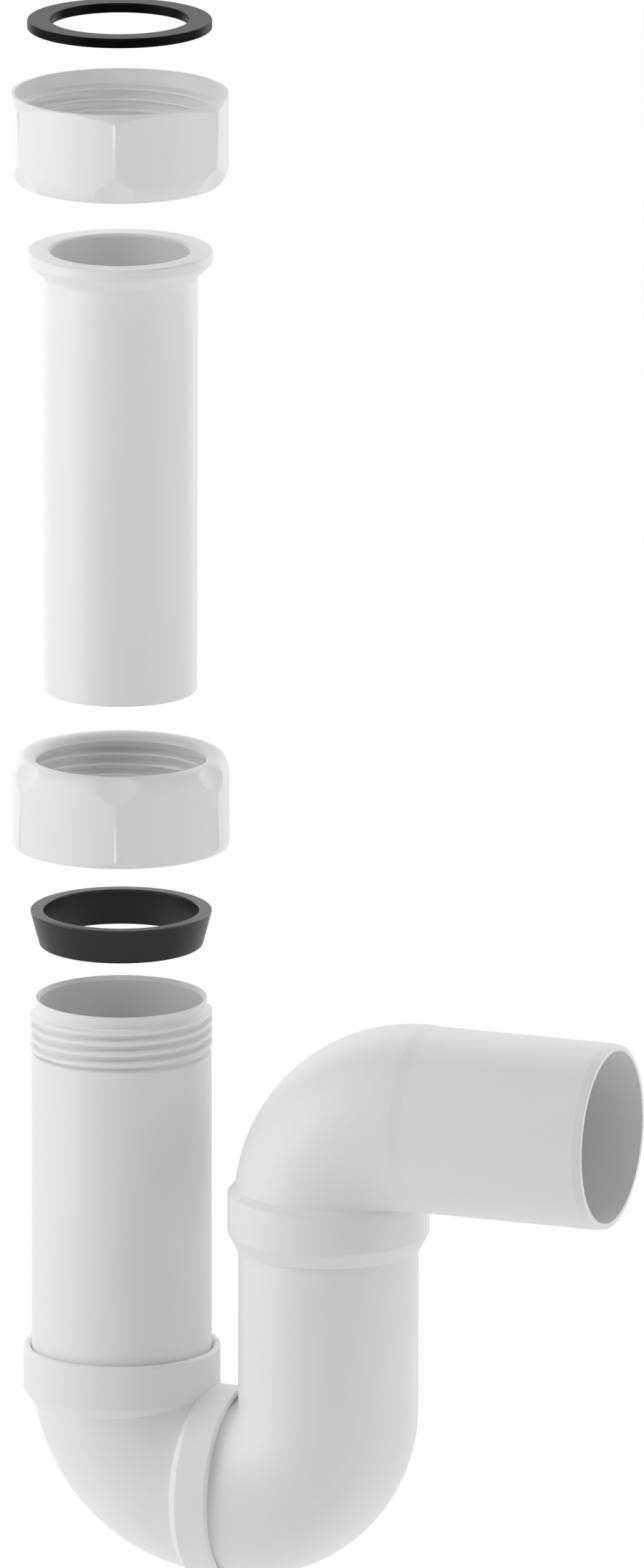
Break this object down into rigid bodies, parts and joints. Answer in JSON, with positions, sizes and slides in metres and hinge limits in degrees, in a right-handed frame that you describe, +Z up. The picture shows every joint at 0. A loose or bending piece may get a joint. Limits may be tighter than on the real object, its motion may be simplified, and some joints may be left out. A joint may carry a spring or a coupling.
{
  "type": "sink trap",
  "caption": "White plastic kitchen sink P-trap with a flanged tailpiece, hexagon union nuts, a flat washer and a cone seal laid out along its inlet axis.",
  "frame": {"origin": "on the inlet axis, at the upper edge of the first thread crest inside the sink nut", "axes": "+Z up along the inlet axis, out of the sink nut's mouth; +X along the outlet, out of its end"},
  "size_m": [0.167, 0.0574, 0.4183],
  "materials": {
    "plastic": "smooth moulded white plastic, satin gloss",
    "rubber": "moulded black rubber, dull sheen"
  },
  "bodies": {
    "trap": {"inlet_pipe": "plastic", "lower_elbow": "plastic", "riser_bend": "plastic", "outlet_elbow": "plastic"},
    "cone_seal": {"cone_seal": "rubber"},
    "trap_nut": {"trap_nut": "plastic"},
    "tailpiece": {"tailpiece": "plastic"},
    "sink_nut": {"sink_nut": "plastic"},
    "sink_washer": {"sink_washer": "rubber"}
  },
  "joints": [
    {"name": "seal_slide", "type": "slide", "parent": "trap", "child": "cone_seal", "axis": [0, 0, 1], "range_m": [-0.0149, 0]},
    {"name": "trap_nut_slide", "type": "slide", "parent": "cone_seal", "child": "trap_nut", "axis": [0, 0, 1], "range_m": [-0.0394, 0]},
    {"name": "tailpiece_slide", "type": "slide", "parent": "trap_nut", "child": "tailpiece", "axis": [0, 0, 1], "range_m": [-0.1138, 0]},
    {"name": "sink_nut_turn", "type": "hinge", "parent": "tailpiece", "child": "sink_nut", "pos_m": [0, 0, 0], "axis": [0, 0, 1], "continuous": true},
    {"name": "washer_slide", "type": "slide", "parent": "sink_nut", "child": "sink_washer", "axis": [0, 0, 1], "range_m": [-0.0385, 0]}
  ]
}
